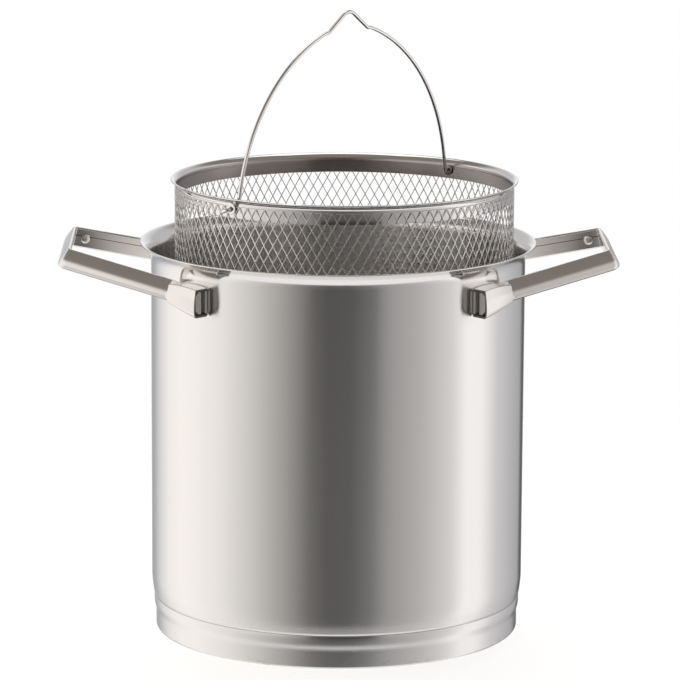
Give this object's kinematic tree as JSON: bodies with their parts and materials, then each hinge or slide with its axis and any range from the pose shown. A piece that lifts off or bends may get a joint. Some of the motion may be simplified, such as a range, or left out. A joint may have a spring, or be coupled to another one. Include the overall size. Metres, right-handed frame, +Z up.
{
  "type": "asparagus pot",
  "caption": "Tall round steel pot on a capsule base with two looped side handles and a lift-out expanded-metal basket on a swinging wire bail, for cooking asparagus upright.",
  "frame": {"origin": "middle of the flat underside, at the bottom centre of the whole object's box", "axes": "+Z up along the pot's axis, X across through the two side handles, -Y towards the front"},
  "size_m": [0.2958, 0.211, 0.3337],
  "materials": {
    "pot_steel": "satin-polished stainless steel",
    "base_steel": "satin stainless steel",
    "core_aluminium": "as cast, hidden",
    "handle_steel": "polished stainless steel",
    "bracket_steel": "satin stainless steel",
    "basket_steel": "polished stainless steel",
    "mesh_steel": "bright expanded stainless steel",
    "wire_steel": "bright drawn stainless wire"
  },
  "bodies": {
    "pot": {"pot_body": "pot_steel", "base_cap": "base_steel", "base_core": "core_aluminium", "handle_left_shell": "handle_steel", "handle_left_bracket_front": "bracket_steel", "handle_left_bracket_rear": "bracket_steel", "handle_left_rivet_front": "handle_steel", "handle_left_rivet_rear": "handle_steel", "handle_right_shell": "handle_steel", "handle_right_bracket_front": "bracket_steel", "handle_right_bracket_rear": "bracket_steel", "handle_right_rivet_front": "handle_steel", "handle_right_rivet_rear": "handle_steel"},
    "basket": {"basket_rim_band": "basket_steel", "basket_wall_panel_01": "mesh_steel", "basket_wall_panel_02": "mesh_steel", "basket_wall_panel_03": "mesh_steel", "basket_wall_panel_04": "mesh_steel", "basket_wall_panel_05": "mesh_steel", "basket_wall_panel_06": "mesh_steel", "basket_wall_panel_07": "mesh_steel", "basket_wall_panel_08": "mesh_steel", "basket_wall_panel_09": "mesh_steel", "basket_wall_panel_10": "mesh_steel", "basket_wall_panel_11": "mesh_steel", "basket_wall_panel_12": "mesh_steel", "basket_base_band": "basket_steel", "basket_floor": "basket_steel", "basket_foot_ring": "basket_steel", "bail_eyelet_front": "basket_steel", "bail_eyelet_rear": "basket_steel"},
    "bail": {"bail": "wire_steel"}
  },
  "joints": [
    {"name": "basket_lift", "type": "slide", "parent": "pot", "child": "basket", "axis": [0, 0, 1], "range_m": [0, 0.21]},
    {"name": "bail_swing", "type": "hinge", "parent": "basket", "child": "bail", "pos_m": [0.0032, 0.0012, 0.2382], "axis": [0.6561, 0.7547, 0], "range_deg": [-86.4, 83.6]}
  ]
}
